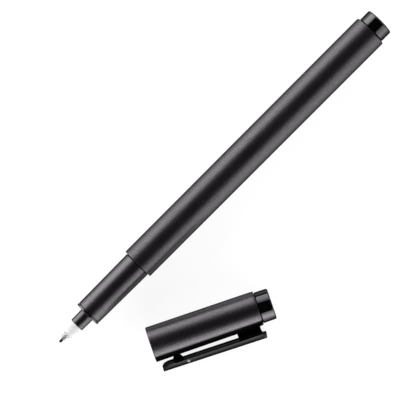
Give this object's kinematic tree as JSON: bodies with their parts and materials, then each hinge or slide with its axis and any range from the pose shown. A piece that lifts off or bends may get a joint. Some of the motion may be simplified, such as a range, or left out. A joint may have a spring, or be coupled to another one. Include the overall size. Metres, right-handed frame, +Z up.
{
  "type": "cleanroom marker",
  "caption": "Slim black fine-tip marker lying beside its pulled-off cap: ribbed barrel with reservoir, stepped grip and nose, white nib holder, clip cap with sealing liner.",
  "frame": {"origin": "middle of the whole outline, on the surface that the marker and its cap lie on", "axes": "+X along the marker from its nib to its end plug, +Z up from the surface, +Y from the cap towards the marker"},
  "size_m": [0.136, 0.0482, 0.0109],
  "materials": {
    "matte_black_moulding": "fine matte moulded polypropylene",
    "satin_black_moulding": "satin moulded polypropylene",
    "gloss_black_moulding": "polished moulded plastic",
    "clip_black_moulding": "satin moulded polypropylene",
    "white_holder": "natural acetal, slightly translucent",
    "natural_liner": "natural polyethylene",
    "inked_fibre": "pressed fibre soaked with black ink",
    "reservoir_wadding": "bundled fibre soaked with black ink",
    "reservoir_film": "thin clear film"
  },
  "bodies": {
    "marker": {"barrel": "matte_black_moulding", "end_plug": "gloss_black_moulding", "grip_section": "satin_black_moulding", "nib_holder": "white_holder", "nib": "inked_fibre", "ink_reservoir": "reservoir_wadding", "reservoir_wrap": "reservoir_film"},
    "cap": {"cap_tube": "matte_black_moulding", "cap_plug": "gloss_black_moulding", "inner_cap": "natural_liner", "clip_post": "clip_black_moulding"},
    "clip": {"clip_arm": "clip_black_moulding"}
  },
  "joints": [
    {"name": "cap_slide", "type": "slide", "parent": "marker", "child": "cap", "axis": [0.898, -0.4399, 0], "range_m": [0, 0.0331]},
    {"name": "clip_flex", "type": "hinge", "parent": "cap", "child": "clip", "pos_m": [-0.03039, -0.01896, 0.00179], "axis": [-0.1864, -0.3805, 0.9058], "range_deg": [0, 6], "stiffness_Nm_per_rad": 0.25}
  ]
}
